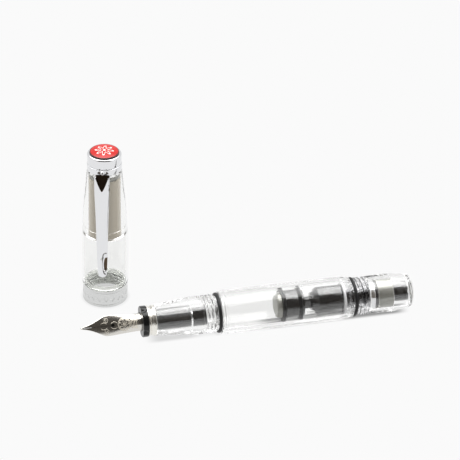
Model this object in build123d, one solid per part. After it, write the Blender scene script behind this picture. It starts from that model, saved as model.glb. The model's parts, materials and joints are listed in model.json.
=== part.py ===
from build123d import *

import os
from math import cos, pi, radians, sin, sqrt

# A clear piston-filling fountain pen, lying on its barrel, with its cap standing beside it.
# +X runs along the pen from the nib to the filler knob, and +Z is up. The origin is on the
# pen's axis at the barrel's front face. Sizes are millimetres. Outlines of turned pieces are
# (x, radius) points; the cap's are (height above the lip, radius).

# Barrel: a faceted tube between two 12-sided rings, the rear one turned by half a side.
BARREL_LENGTH = 43.3
BARREL_SIDES = 12
BARREL_FRONT_R = 7.2
BARREL_REAR_R = 6.95
COLLAR_LENGTH = 1.6
COLLAR_R = 6.85
REAR_COLLAR_R = 6.55
BORE_R = 5.55
FLOOR_Z = -BARREL_FRONT_R * cos(pi / BARREL_SIDES)

# Gap left between two pieces that fit together.
FIT = 0.05

# Section (the clear grip) and its cap thread.
SECTION_FRONT = -21.1
SECTION_FRONT_R = 5.0
CAP_THREAD_START = -5.7
CAP_THREAD_END = -1.4
CAP_THREAD_ROOT_R = 5.72
CAP_THREAD_CREST_R = 6.15
CAP_THREAD_PITCH = 1.25
SPIGOT_END = 1.1
INK_MOUTH_R = 4.4
INK_HOLE_R = 1.2

# Nib unit.
NIB_ROLL = 58.0
NIB_TIP = -44.9
NIB_TAIL = -16.0
NIB_THICKNESS = 0.25
SLIT_WIDTH = 0.12
BREATHER_X = -34.9
BREATHER_R = 0.5
HOUSING_TUBE_R = 3.65
HOUSING_BORE_R = 3.0
HOUSING_REAR = -10.0
FLANGE_R = 5.0
FLANGE_FRONT = -25.5
FLANGE_REAR = -23.7
FEED_TAIL_R = 2.4
SLEEVE_FRONT = -9.3
SLEEVE_REAR = -4.7
SLEEVE_R = 3.45

# O-rings.
FRONT_ORING_X = -0.7
FRONT_ORING_R = 6.5
REAR_ORING_X = 44.1
REAR_ORING_R = 6.4
ORING_WIRE_R = 0.55

# Piston, at the back of its stroke.
PISTON_FRONT = 18.4
SEAL_FRONT = 20.05
SEAL_REAR = 26.35
SEAL_LIP_R = 5.5
SEAL_WAIST_R = 4.6
STEM_R = 2.4
ROD_FLANGE_R = 4.0
ROD_FLANGE_REAR = 27.3
ROD_R = 1.9
ROD_FLAT = 1.5
ROD_CORE_R = 1.35
ROD_THREAD_START = 33.0
ROD_REAR = 57.2

# Filler mechanism: the knob backs out by a fine thread while the piston goes forward by a
# coarse two-start one, so the coarse lead is the sum of both movements for each turn.
KNOB_PITCH = 0.8
PISTON_PER_TURN = 4.25
ROD_LEAD = KNOB_PITCH + PISTON_PER_TURN
ROD_STARTS = 2
GUIDE_FRONT = 30.1
GUIDE_REAR = 40.1
GUIDE_R = 4.5
GUIDE_BORE_R = 3.55
GUIDE_NECK_R = 3.9
GUIDE_NECK_REAR = 42.4
GUIDE_WALL_REAR = 32.4
SPINDLE_HEAD_FRONT = 33.6
SPINDLE_HEAD_REAR = 36.4
SPINDLE_TUBE_R = 2.7
SPINDLE_DRIVE_R = 3.2
SPINDLE_DRIVE_FRONT = 56.8
SPINDLE_REAR = 61.8
DRIVE_SLOTS = 6

# Connector between barrel and knob, with the thread that holds the cap when it is posted.
CONNECTOR_FRONT = 40.9
POST_THREAD_START = 44.7
POST_THREAD_END = 48.7
POST_THREAD_PITCH = 1.33
CONNECTOR_NECK_R = 3.7
CONNECTOR_REAR = 50.75
WRENCH_COLLAR_FRONT = 49.0
WRENCH_COLLAR_REAR = 50.7
WRENCH_COLLAR_R = 4.9
WRENCH_FLAT = 4.65
WASHER_FRONT = 50.85
WASHER_REAR = 51.55
WASHER_R = 4.6
KNOB_FRONT = 48.8
KNOB_REAR = 63.6
KNOB_R = 6.05
KNOB_END_R = 5.35
KNOB_SKIRT_R = 5.1
KNOB_SHOULDER = 51.65
KNOB_SLEEVE_R = 4.9

# Cap, standing on its lip with its clip turned towards clip_angle.
CAP_X = -31.5
CAP_Y = 27.55
CLIP_ANGLE = 251.4
BAND_HEIGHT = 6.0
BAND_R = 7.25
INSERT_START = 1.4
INSERT_TOP = 7.3
CHAMBER_R = 6.5
CHAMBER_TOP = 24.9
CAP_BODY_TOP = 48.3
LINER_STEP = 26.9
LINER_R = 5.1
LINER_TOP = 47.3
RING_TOP = 50.45
RING_R = 5.55
CROWN_TOP = 53.9
CROWN_R = 5.45
JEWEL_R = 4.6
JEWEL_TOP = 54.8
STUD_R = 1.5

CLIP_TOP_WIDTH = 4.8
CLIP_TIP_WIDTH = 2.8
CLIP_TIP_HEIGHT = 12.4
CLIP_TIP_R = 8.9
CLIP_THICKNESS = 0.8


def turned(outline):
    """Solid of revolution about X from a closed outline of (x, radius) points."""
    return revolve(make_face(Polyline(*outline, close=True)), Axis.X)


def turned_curve(curve, inner):
    """Solid of revolution about X between a smooth outer curve and inner (x, radius) points."""
    walls = Polyline(curve @ 1, *inner, curve @ 0)
    return revolve(make_face(curve + walls), Axis.X)


def tube(start, end, outer_r, inner_r):
    return turned([(start, inner_r), (start, outer_r), (end, outer_r), (end, inner_r)])


def rod(start, end, radius):
    return turned([(start, 0), (start, radius), (end, radius), (end, 0)])


def oring(centre_x, outer_r, wire_r):
    profile = Pos(centre_x, outer_r - wire_r) * Circle(wire_r)
    return revolve(profile, Axis.X)


def helical_ridge(start, length, pitch, foot_r, tip_r, foot_width, tip_width, phase=0.0):
    """Right-handed ridge wound about X. Its foot is sunk a little into the wall it grows from."""
    path = Helix(pitch, length, foot_r)
    sink = 0.1 if tip_r > foot_r else -0.1
    depth = tip_r - foot_r
    frame = Plane(origin=path @ 0, x_dir=(1, 0, 0), z_dir=path % 0)
    outline = [
        (-sink, -foot_width / 2),
        (-sink, foot_width / 2),
        (depth, tip_width / 2),
        (depth, -tip_width / 2),
    ]
    profile = frame * make_face(Polyline(*outline, close=True))
    ridge = sweep(profile, path=path, is_frenet=True)
    return Pos(start, 0, 0) * Rot(phase, 0, 0) * Rot(0, 90, 0) * ridge


def twist(profile, start, end):
    """Extrude a cross-section about X from start to end, turning once for each rod lead."""
    turn = 360 * (end - start) / ROD_LEAD
    base = Rot(0, 0, 360 * start / ROD_LEAD) * profile
    solid = Solid.extrude_linear_with_rotation(
        base.face(), center=(0, 0, 0), normal=(0, 0, end - start), angle=turn
    )
    return Pos(start, 0, 0) * Rot(0, 90, 0) * solid


def double_flat(start, end, radius, flat):
    """Round bar with two flats, at y = -flat and y = +flat."""
    bar = rod(start, end, radius)
    keep = Pos((start + end) / 2, 0, 0) * Box(end - start, 2 * flat, 2 * radius)
    return bar & keep


# Barrel and rings

def faceted_body(start, end, front_r, rear_r, sides):
    """Antiprism: long triangles that run from each ring's sides to the other ring's corners."""
    step = 2 * pi / sides

    def corner(x, radius, index, offset):
        angle = (index + offset) * step
        return (x, radius * sin(angle), -radius * cos(angle))

    front = [corner(start, front_r, i, 0.5) for i in range(sides)]
    rear = [corner(end, rear_r, i, 0.0) for i in range(sides)]
    faces = [make_face(Polyline(*front, close=True)).face()]
    faces.append(make_face(Polyline(*rear, close=True)).face())
    for i in range(sides):
        after = (i + 1) % sides
        for triangle in ((front[i], front[after], rear[after]), (rear[i], rear[after], front[i])):
            faces.append(make_face(Polyline(*triangle, close=True)).face())
    return Solid(Shell(faces))


def barrel():
    facets_end = BARREL_LENGTH - COLLAR_LENGTH
    body = faceted_body(COLLAR_LENGTH, facets_end, BARREL_FRONT_R, BARREL_REAR_R, BARREL_SIDES)
    body += rod(0, COLLAR_LENGTH, COLLAR_R)
    body += rod(facets_end, BARREL_LENGTH, REAR_COLLAR_R)
    return body - rod(-1, BARREL_LENGTH + 1, BORE_R)


def front_oring():
    return oring(FRONT_ORING_X, FRONT_ORING_R, ORING_WIRE_R)


def rear_oring():
    return oring(REAR_ORING_X, REAR_ORING_R, ORING_WIRE_R)


# Nib unit and section

def section():
    outer = Spline(
        (SECTION_FRONT, SECTION_FRONT_R), (-14.2, 5.62), (-9.0, 6.12), (CAP_THREAD_START - 0.4, 6.2)
    )
    groove_r = FRONT_ORING_R - 2 * ORING_WIRE_R - FIT
    tube_bore_r = HOUSING_TUBE_R + FIT
    sleeve_bore_r = SLEEVE_R + FIT
    inner = [
        (CAP_THREAD_START, CAP_THREAD_ROOT_R),
        (CAP_THREAD_END, CAP_THREAD_ROOT_R),
        (CAP_THREAD_END, groove_r),
        (0, groove_r),
        (0, BORE_R - FIT),
        (SPIGOT_END, BORE_R - FIT),
        (SPIGOT_END, INK_MOUTH_R),
        (SLEEVE_REAR + 0.1, sleeve_bore_r),
        (SLEEVE_FRONT - 0.05, sleeve_bore_r),
        (SLEEVE_FRONT - 0.05, INK_HOLE_R),
        (HOUSING_REAR + 0.1, INK_HOLE_R),
        (HOUSING_REAR + 0.1, tube_bore_r),
        (SECTION_FRONT, tube_bore_r),
    ]
    body = turned_curve(outer, inner)
    ridge_length = CAP_THREAD_END - CAP_THREAD_START - 0.8
    return body + helical_ridge(
        CAP_THREAD_START + 0.4, ridge_length, CAP_THREAD_PITCH,
        CAP_THREAD_ROOT_R, CAP_THREAD_CREST_R, 0.8, 0.35,
    )


def trim_ring():
    """Bright metal ring at the front of the section, waisted like a bell."""
    bore_r = HOUSING_TUBE_R + FIT
    front = FLANGE_REAR + FIT
    rear = SECTION_FRONT - FIT
    lip = front + 0.5
    outer = Spline((lip, 4.55), (lip + 0.7, 4.72), (rear - 0.45, 4.95))
    ends = [(rear, 4.95), (rear, bore_r), (front, bore_r), (front, 4.8), (lip, 4.8)]
    return turned_curve(outer, ends)


def nib_housing():
    """Black holder of nib and feed: a notched double flange in front and a tube behind."""
    groove_r = FLANGE_R - 0.35
    ring = 1.05
    outline = [
        (FLANGE_FRONT, HOUSING_BORE_R),
        (FLANGE_FRONT, FLANGE_R - 0.2),
        (FLANGE_FRONT + 0.2, FLANGE_R),
        (FLANGE_FRONT + ring, FLANGE_R),
        (FLANGE_FRONT + ring, groove_r),
        (FLANGE_REAR - ring, groove_r),
        (FLANGE_REAR - ring, FLANGE_R),
        (FLANGE_REAR, FLANGE_R),
        (FLANGE_REAR, HOUSING_TUBE_R),
        (HOUSING_REAR, HOUSING_TUBE_R),
        (HOUSING_REAR, HOUSING_BORE_R),
    ]
    body = turned(outline)
    for angle in (0, 90, 180, 270):
        notch = Rot(NIB_ROLL + 45 + angle, 0, 0) * Pos(FLANGE_FRONT, 0, FLANGE_R + 0.35) * Box(1.4, 1.8, 1.4)
        body -= notch
    return body


def crescent(x, outer_r, half_angle, top_z, thickness):
    """Cross-section of the nib at x: an arc strip whose highest point is at top_z."""
    sketch_angle = radians(half_angle)
    centre = top_z - outer_r
    inner_r = outer_r - thickness

    def point(radius, angle):
        return (radius * sin(angle), centre + radius * cos(angle))

    outer = ThreePointArc(point(outer_r, -sketch_angle), point(outer_r, 0), point(outer_r, sketch_angle))
    inner = ThreePointArc(point(inner_r, sketch_angle), point(inner_r, 0), point(inner_r, -sketch_angle))
    sides = Line(outer @ 1, inner @ 0) + Line(inner @ 1, outer @ 0)
    return Plane(origin=(x, 0, 0), x_dir=(0, 1, 0), z_dir=(1, 0, 0)) * make_face(outer + inner + sides)


def nib():
    """Steel nib: a strip rolled around the feed that narrows and dips to its point."""
    tail_front = -26.7
    tail = extrude(crescent(tail_front, 2.95, 75, 2.95, NIB_THICKNESS), NIB_TAIL - tail_front)
    blade = loft([
        crescent(tail_front, 2.95, 75, 2.95, NIB_THICKNESS),
        crescent(-30.0, 3.15, 68, 2.9, NIB_THICKNESS),
        crescent(-33.0, 3.9, 52, 2.75, NIB_THICKNESS),
        crescent(-35.5, 5.2, 38.3, 2.5, NIB_THICKNESS),
        crescent(-37.6, 6.0, 32.5, 2.2, NIB_THICKNESS),
        crescent(-39.5, 6.0, 20.7, 1.8, NIB_THICKNESS),
        crescent(-41.5, 5.0, 13.2, 1.2, NIB_THICKNESS),
        crescent(NIB_TIP + 0.3, 3.0, 6.6, 0.1, NIB_THICKNESS),
    ], ruled=True)
    blade += tail
    blade += Pos(NIB_TIP + 0.45, 0, -0.1) * Sphere(0.42)
    slit_length = BREATHER_X - NIB_TIP + 1
    blade -= Pos(BREATHER_X - slit_length / 2, 0, 1) * Box(slit_length, SLIT_WIDTH, 6)
    blade -= Pos(BREATHER_X, 0, 2) * Cylinder(BREATHER_R, 4)
    return Rot(NIB_ROLL, 0, 0) * blade


def feed():
    """Black ink feed under the nib: a tapering body with fins and a round tail."""

    def disc(x, radius, z):
        return Plane(origin=(x, 0, z), x_dir=(0, 1, 0), z_dir=(1, 0, 0)) * Circle(radius)

    body = loft([disc(-28.0, 2.5, 0), disc(-33.0, 2.0, -0.3), disc(-38.0, 1.15, -0.3), disc(-41.2, 0.4, -0.05)])
    body += rod(-28.0, NIB_TAIL + 0.5, 2.5)
    body += rod(NIB_TAIL + 0.5, HOUSING_REAR - 0.1, FEED_TAIL_R)
    fin_gap = 0.3
    for i in range(8):
        slot = Pos(-28.0 - 0.9 * i, 0, -2.2) * Box(fin_gap, 6, 2.6)
        body -= slot
    return Rot(NIB_ROLL, 0, 0) * body


def feed_sleeve():
    """Short dark sleeve behind the wall that closes off the nib unit, on the ink's way forward."""
    return tube(SLEEVE_FRONT, SLEEVE_REAR, SLEEVE_R, FEED_TAIL_R + FIT)


# Piston

def piston_nose():
    """Smoke-grey nose with the stem that carries the seal and plugs into the rod."""
    return turned([
        (PISTON_FRONT, 0),
        (PISTON_FRONT, 3.4),
        (PISTON_FRONT + 0.5, 3.9),
        (SEAL_FRONT - FIT, 4.2),
        (SEAL_FRONT - FIT, STEM_R),
        (SEAL_REAR, STEM_R),
        (SEAL_REAR, 1.0),
        (SEAL_REAR + 2.2, 1.0),
        (SEAL_REAR + 2.2, 0),
    ])


def piston_seal():
    """Rubber sleeve with a flared wiping lip at each end."""
    lip = 0.45
    flare = 0.6
    return turned([
        (SEAL_FRONT, STEM_R + FIT),
        (SEAL_FRONT, SEAL_LIP_R - 0.15),
        (SEAL_FRONT + 0.15, SEAL_LIP_R),
        (SEAL_FRONT + lip, SEAL_LIP_R),
        (SEAL_FRONT + lip + flare, SEAL_WAIST_R),
        (SEAL_REAR - lip - flare, SEAL_WAIST_R),
        (SEAL_REAR - lip, SEAL_LIP_R),
        (SEAL_REAR - 0.15, SEAL_LIP_R),
        (SEAL_REAR, SEAL_LIP_R - 0.15),
        (SEAL_REAR, STEM_R + FIT),
    ])


def screw_profile(core_r, crest_r, crest_angle):
    """Cross-section of a two-start screw: a round core with one lobe for each start."""
    profile = Circle(core_r)
    for start in range(ROD_STARTS):
        half = radians(crest_angle / 2)
        reach = crest_r / cos(half) + 0.2
        wedge = make_face(Polyline(
            (0, 0), (reach * cos(half), reach * sin(half)), (reach * cos(half), -reach * sin(half)),
            close=True,
        ))
        profile += Rot(0, 0, 360 * start / ROD_STARTS) * (wedge & Circle(crest_r))
    return profile


def piston_rod():
    """Rod with two flats that keep it from turning, and a coarse two-start screw behind."""
    head = rod(SEAL_REAR + FIT, ROD_FLANGE_REAR, ROD_FLANGE_R)
    plain = double_flat(ROD_FLANGE_REAR - 0.2, ROD_THREAD_START, ROD_R, ROD_FLAT)
    screw = twist(screw_profile(ROD_CORE_R, ROD_R, 78), ROD_THREAD_START, ROD_REAR)
    screw &= double_flat(ROD_THREAD_START - 0.1, ROD_REAR + 0.1, ROD_R + 0.2, ROD_FLAT)
    return head + plain + screw - rod(SEAL_REAR, SEAL_REAR + 2.3, 1.0 + FIT)


# Filler mechanism

def piston_guide():
    """Black sleeve with a keyed front wall for the rod and a fine nut thread inside."""
    body = turned([
        (GUIDE_FRONT, 0),
        (GUIDE_FRONT, 2.9),
        (GUIDE_FRONT + 0.7, 3.2),
        (GUIDE_FRONT + 2.0, GUIDE_R),
        (GUIDE_REAR, GUIDE_R),
        (GUIDE_REAR, GUIDE_NECK_R),
        (GUIDE_NECK_REAR, GUIDE_NECK_R),
        (GUIDE_NECK_REAR, GUIDE_BORE_R),
        (GUIDE_WALL_REAR, GUIDE_BORE_R),
        (GUIDE_WALL_REAR, 0),
    ])
    body -= double_flat(GUIDE_FRONT - 1, GUIDE_WALL_REAR + 1, ROD_R + FIT, ROD_FLAT + FIT)
    return body + helical_ridge(
        SPINDLE_HEAD_FRONT - KNOB_PITCH / 2, 6.4, KNOB_PITCH, GUIDE_BORE_R, GUIDE_BORE_R - 0.3, 0.42, 0.22
    )


def guide_ring():
    return tube(GUIDE_REAR + FIT, CONNECTOR_FRONT - FIT, 5.4, GUIDE_NECK_R + FIT)


def spindle():
    """Turning tube: fine screw and coarse nut in front, slotted drive head at the rear."""
    screw_root_r = GUIDE_BORE_R - 0.3 - FIT
    bore_r = ROD_R + 0.15
    body = turned([
        (SPINDLE_HEAD_FRONT, 0),
        (SPINDLE_HEAD_FRONT, screw_root_r),
        (SPINDLE_HEAD_REAR, screw_root_r),
        (SPINDLE_HEAD_REAR, SPINDLE_TUBE_R),
        (SPINDLE_DRIVE_FRONT, SPINDLE_TUBE_R),
        (SPINDLE_DRIVE_FRONT, SPINDLE_DRIVE_R),
        (SPINDLE_REAR, SPINDLE_DRIVE_R),
        (SPINDLE_REAR, bore_r),
        (SPINDLE_HEAD_REAR, bore_r),
        (SPINDLE_HEAD_REAR, 0),
    ])
    body += helical_ridge(
        SPINDLE_HEAD_FRONT + 0.4, 2.0, KNOB_PITCH, screw_root_r, screw_root_r + 0.3, 0.42, 0.22, 180.0
    )
    nut_hole = screw_profile(ROD_CORE_R + 0.08, ROD_R + 0.06, 88)
    body -= twist(nut_hole, SPINDLE_HEAD_FRONT - 0.3, SPINDLE_HEAD_REAR + 0.3)
    slot_depth = 1.8
    for i in range(DRIVE_SLOTS):
        slot = Pos(SPINDLE_REAR - slot_depth / 2, 0, SPINDLE_DRIVE_R) * Box(slot_depth + 0.01, 0.9, 2.0)
        slot += Pos(SPINDLE_REAR - slot_depth, 0, SPINDLE_DRIVE_R) * Cylinder(0.45, 2.0)
        body -= Rot(360 * i / DRIVE_SLOTS, 0, 0) * slot
    return body


def rear_connector():
    """Clear piece screwed into the barrel's rear, with the posting thread outside."""
    groove_r = REAR_ORING_R - 2 * ORING_WIRE_R - FIT
    root_r = CAP_THREAD_ROOT_R
    body = turned([
        (CONNECTOR_FRONT, GUIDE_NECK_R + FIT),
        (CONNECTOR_FRONT, BORE_R - FIT),
        (BARREL_LENGTH, BORE_R - FIT),
        (BARREL_LENGTH, groove_r),
        (POST_THREAD_START, groove_r),
        (POST_THREAD_START, root_r),
        (POST_THREAD_END, root_r),
        (POST_THREAD_END, CONNECTOR_NECK_R),
        (CONNECTOR_REAR, CONNECTOR_NECK_R),
        (CONNECTOR_REAR, SPINDLE_TUBE_R + 0.1),
        (GUIDE_NECK_REAR + 0.1, SPINDLE_TUBE_R + 0.1),
        (GUIDE_NECK_REAR + 0.1, GUIDE_NECK_R + FIT),
    ])
    ridge_length = POST_THREAD_END - POST_THREAD_START - 0.8
    return body + helical_ridge(
        POST_THREAD_START + 0.4, ridge_length, POST_THREAD_PITCH,
        root_r, CAP_THREAD_CREST_R, 0.85, 0.4,
    )


def wrench_collar():
    """Bright collar with two flats, covered by the knob's skirt until the knob backs out."""
    collar = tube(WRENCH_COLLAR_FRONT, WRENCH_COLLAR_REAR, WRENCH_COLLAR_R, CONNECTOR_NECK_R + FIT)
    length = WRENCH_COLLAR_REAR - WRENCH_COLLAR_FRONT
    middle = (WRENCH_COLLAR_FRONT + WRENCH_COLLAR_REAR) / 2
    return collar & Pos(middle, 0, 0) * Box(length + 1, 2 * WRENCH_FLAT, 2 * WRENCH_COLLAR_R + 1)


def thrust_washer():
    return tube(WASHER_FRONT, WASHER_REAR, WASHER_R, SPINDLE_TUBE_R + FIT)


def knob_sleeve():
    return tube(KNOB_SHOULDER, SPINDLE_DRIVE_FRONT - FIT, KNOB_SLEEVE_R, SPINDLE_TUBE_R + FIT)


def knob():
    """Clear knob with a skirt over the collar, a bore for its sleeve and a blind hole for the
    spindle's head."""
    edge = 0.5
    outer = Spline(
        (KNOB_FRONT, KNOB_R), (KNOB_FRONT + 8, KNOB_R), (KNOB_REAR - 3.5, 5.75), (KNOB_REAR - edge, KNOB_END_R)
    )
    bore_r = SPINDLE_DRIVE_R + FIT
    inner = [
        (KNOB_REAR, KNOB_END_R - edge),
        (KNOB_REAR, 0),
        (SPINDLE_REAR + 0.2, 0),
        (SPINDLE_REAR + 0.2, bore_r),
        (SPINDLE_DRIVE_FRONT, bore_r),
        (SPINDLE_DRIVE_FRONT, KNOB_SLEEVE_R + FIT),
        (KNOB_SHOULDER + FIT, KNOB_SLEEVE_R + FIT),
        (KNOB_SHOULDER + FIT, KNOB_SKIRT_R),
        (KNOB_FRONT, KNOB_SKIRT_R),
    ]
    return turned_curve(outer, inner)


# Cap

def stand(piece):
    """Turn a piece made along X upright and set it on the floor at the cap's place."""
    return Pos(CAP_X, CAP_Y, FLOOR_Z) * Rot(0, 0, CLIP_ANGLE) * Rot(0, -90, 0) * piece


def cap_band():
    return stand(turned([
        (0, 6.6),
        (0, BAND_R - 0.15),
        (0.15, BAND_R),
        (BAND_HEIGHT, BAND_R),
        (BAND_HEIGHT, 6.75),
        (INSERT_START - FIT, 6.75),
        (INSERT_START - FIT, 6.6),
    ]))


def cap_thread_insert():
    """Threaded ring in the cap's mouth that takes the section's thread."""
    nut_root_r = CAP_THREAD_CREST_R + 0.1
    body = turned([
        (INSERT_START, nut_root_r),
        (INSERT_START, 6.7),
        (BAND_HEIGHT, 6.7),
        (BAND_HEIGHT, CHAMBER_R - FIT),
        (INSERT_TOP, CHAMBER_R - FIT),
        (INSERT_TOP, CAP_THREAD_ROOT_R + 0.05),
        (INSERT_TOP - 1.2, CAP_THREAD_ROOT_R + 0.05),
        (INSERT_TOP - 1.2, nut_root_r),
    ])
    ridge_length = INSERT_TOP - 1.4 - INSERT_START - 0.8
    body += helical_ridge(
        INSERT_START + 0.4, ridge_length, CAP_THREAD_PITCH,
        nut_root_r, CAP_THREAD_ROOT_R + 0.05, 0.7, 0.3,
    )
    return stand(body)


def cap_body():
    """Clear cap tube: a wide chamber over the section and a narrow bore for the liner."""
    outer = Spline(
        (BAND_HEIGHT + FIT, 7.42), (17, 7.48), (26.4, 7.24), (36, 6.63), (CAP_BODY_TOP, 5.5)
    )
    top_wall = LINER_TOP + FIT
    inner = [
        (CAP_BODY_TOP, STUD_R + 0.1),
        (top_wall, STUD_R + 0.1),
        (top_wall, LINER_R + FIT),
        (LINER_STEP + 0.1, LINER_R + FIT),
        (LINER_STEP + 0.1, 5.3),
        (CHAMBER_TOP, 5.3),
        (CHAMBER_TOP, CHAMBER_R),
        (BAND_HEIGHT + FIT, CHAMBER_R),
    ]
    return stand(turned_curve(outer, inner))


def cap_liner():
    """Inner cap that closes on the nib unit's flange and keeps the nib from drying."""
    plug_r = 4.2
    plug_start = LINER_TOP - 1.5
    return stand(turned([
        (CHAMBER_TOP, FLANGE_R + 0.03),
        (CHAMBER_TOP, 5.25),
        (LINER_STEP, 5.25),
        (LINER_STEP, LINER_R),
        (plug_start, LINER_R),
        (plug_start, plug_r),
        (LINER_TOP, plug_r),
        (LINER_TOP, STUD_R + FIT),
        (plug_start, STUD_R + FIT),
        (plug_start - 0.3, 3.4),
        (plug_start - 1.6, 4.6),
        (26.45, 4.6),
        (26.45, FLANGE_R + 0.03),
    ]))


def liner_collar():
    plug_start = LINER_TOP - 1.5
    return stand(tube(plug_start + FIT, LINER_TOP, LINER_R - 0.1, 4.2 + FIT))


def clip_ring():
    return stand(tube(CAP_BODY_TOP + FIT, RING_TOP, RING_R, STUD_R + 0.1))


def crown():
    """Bright end piece whose stud holds clip ring and body to the liner."""
    seat_r = JEWEL_R + FIT
    rim = 0.25
    return stand(turned([
        (LINER_TOP - 1.4, 0),
        (LINER_TOP - 1.4, STUD_R),
        (RING_TOP + FIT, STUD_R),
        (RING_TOP + FIT, CROWN_R),
        (CROWN_TOP - rim, CROWN_R),
        (CROWN_TOP, CROWN_R - rim),
        (CROWN_TOP, seat_r),
        (CROWN_TOP - 1.0, seat_r),
        (CROWN_TOP - 1.0, 0),
    ]))


def jewel_inlay():
    return stand(rod(CROWN_TOP - 0.95, CROWN_TOP - 0.5, JEWEL_R - 0.05))


def jewel():
    """Low red dome in the crown."""
    base = CROWN_TOP - 0.45
    edge = CROWN_TOP + 0.1
    height = JEWEL_TOP - edge
    sphere_r = (JEWEL_R ** 2 + height ** 2) / (2 * height)
    half_drop = sphere_r - sqrt(sphere_r ** 2 - (JEWEL_R / 2) ** 2)
    dome = ThreePointArc((edge, JEWEL_R), (JEWEL_TOP - half_drop, JEWEL_R / 2), (JEWEL_TOP, 0))
    walls = Polyline((JEWEL_TOP, 0), (base, 0), (base, JEWEL_R), (edge, JEWEL_R))
    return stand(revolve(make_face(dome + walls), Axis.X))


def clip():
    """Sprung arm that leaves the ring, bends down and ends in a ball that presses on the cap."""
    root_r = RING_R + FIT
    inner_tip_r = CLIP_TIP_R - CLIP_THICKNESS
    side = make_face(Polyline(
        (root_r, 49.0),
        (root_r, 49.9),
        (6.6, 50.15),
        (7.3, 48.8),
        (CLIP_TIP_R, CLIP_TIP_HEIGHT + 0.5),
        (CLIP_TIP_R - 0.2, CLIP_TIP_HEIGHT),
        (inner_tip_r, CLIP_TIP_HEIGHT),
        (6.45, 48.4),
        (6.2, 49.0),
        close=True,
    ))
    arm = extrude(Plane.XZ * side, amount=CLIP_TOP_WIDTH, both=True)
    front = make_face(Polyline(
        (-CLIP_TOP_WIDTH / 2, 51),
        (CLIP_TOP_WIDTH / 2, 51),
        (CLIP_TOP_WIDTH / 2, 47),
        (CLIP_TIP_WIDTH / 2, CLIP_TIP_HEIGHT + 1),
        (0, CLIP_TIP_HEIGHT - 0.2),
        (-CLIP_TIP_WIDTH / 2, CLIP_TIP_HEIGHT + 1),
        (-CLIP_TOP_WIDTH / 2, 47),
        close=True,
    ))
    arm &= extrude(Plane.YZ * front, amount=12)
    ball_r = 0.55
    arm += Pos(7.5 + FIT + ball_r, 0, 16.5) * Sphere(ball_r)
    return Pos(CAP_X, CAP_Y, FLOOR_Z) * Rot(0, 0, CLIP_ANGLE) * arm


PIECES = [
    barrel, front_oring, rear_oring, section, trim_ring, nib_housing, nib, feed, feed_sleeve,
    piston_nose, piston_seal, piston_rod, piston_guide, guide_ring, spindle, rear_connector,
    wrench_collar, thrust_washer, knob_sleeve, knob, cap_band, cap_thread_insert, cap_body,
    cap_liner, liner_collar, clip_ring, crown, jewel_inlay, jewel, clip,
]

os.makedirs("parts", exist_ok=True)
for make_piece in PIECES:
    export_step(make_piece(), f"parts/{make_piece.__name__}.step")
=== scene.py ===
import json
from math import asin, atan2, cos, pi, radians, sin, sqrt

import bmesh
import bpy
from mathutils import Matrix, Vector


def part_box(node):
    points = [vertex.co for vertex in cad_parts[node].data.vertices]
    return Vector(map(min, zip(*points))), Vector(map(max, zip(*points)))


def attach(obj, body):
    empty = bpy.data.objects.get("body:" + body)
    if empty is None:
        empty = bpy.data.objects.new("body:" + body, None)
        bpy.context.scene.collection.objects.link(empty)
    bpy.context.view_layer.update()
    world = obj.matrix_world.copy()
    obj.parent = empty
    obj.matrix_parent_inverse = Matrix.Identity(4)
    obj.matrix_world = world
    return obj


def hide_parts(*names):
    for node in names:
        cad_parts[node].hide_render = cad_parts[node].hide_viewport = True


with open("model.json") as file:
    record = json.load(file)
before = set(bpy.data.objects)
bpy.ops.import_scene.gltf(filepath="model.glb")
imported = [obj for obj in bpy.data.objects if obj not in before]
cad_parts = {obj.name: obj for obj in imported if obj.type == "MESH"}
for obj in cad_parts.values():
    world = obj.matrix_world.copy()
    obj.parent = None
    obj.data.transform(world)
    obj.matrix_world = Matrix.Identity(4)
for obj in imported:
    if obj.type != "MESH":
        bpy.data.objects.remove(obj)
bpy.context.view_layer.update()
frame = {"nodes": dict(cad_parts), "record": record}

# A clear piston-filling fountain pen and its cap. Lengths are millimetres until a mesh is made.
MM = 0.001
SEGMENTS = 128           # steps round a turned piece
FIT = 0.05               # gap between pieces that fit together

# Camera: an angle on the object and a long lens, aimed at a point of the floor.
CAMERA_AZIMUTH = -14.63
CAMERA_ELEVATION = 31.83
CAMERA_ROLL = 1.52
CAMERA_DISTANCE = 790.5
CAMERA_TARGET = (18.15, 58.5)
CAMERA_LENS = 180.38

# Studio: one wide soft light overhead and a little behind, pale walls, and a dark room on the
# camera's side that the polished pieces reflect.
SOFTBOX_LIGHT = 4.2
SOFTBOX_HALF_WIDTH = 0.9
SOFTBOX_FRONT = 0.19
SOFTBOX_BACK = 0.95
SOFTBOX_BACK_FADE = 0.4
WALL_LIGHT = 0.85
ROOM_LIGHT = 0.07
ROOM_THROUGH_CLEAR = 0.15
ROOM_TOP = 1.25
ROOM_HALF_ANGLE = 55.0
BACKDROP_WHITE = 0.956
# Painted shadow on the glowing floor: how far ambient occlusion reaches, and how much it darkens.
SHADOW_REACH = 1.2
SHADOW_DEPTH = 0.3
# Contact shadow painted under the pen: from x, to x, darkness. It fades out between the near and far
# distances on both sides of the pen's axis, and over the ends' length beyond each x.
PEN_SHADOW = [(-22.0, -8.0, 0.28), (-8.0, 14.0, 0.10), (14.0, 61.0, 0.68)]
PEN_SHADOW_NEAR = 1.2
PEN_SHADOW_FAR = 3.2
PEN_SHADOW_ENDS = 3.0
FLOOR_SIZE = 3000.0

NIB_ROLL = radians(58.0)
NIB_THICKNESS = 0.25
CAP_THREAD_PITCH = 1.25
POST_THREAD_PITCH = 1.33
THREAD_DEPTH = 0.43
THREAD_ROOT_R = 5.72


# Places, read from the frame

def along_pen(node):
    """First x, last x and greatest radius of a piece turned about the pen's axis."""
    low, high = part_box(node)
    return low.x / MM, high.x / MM, (high.z - low.z) / 2 / MM


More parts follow.
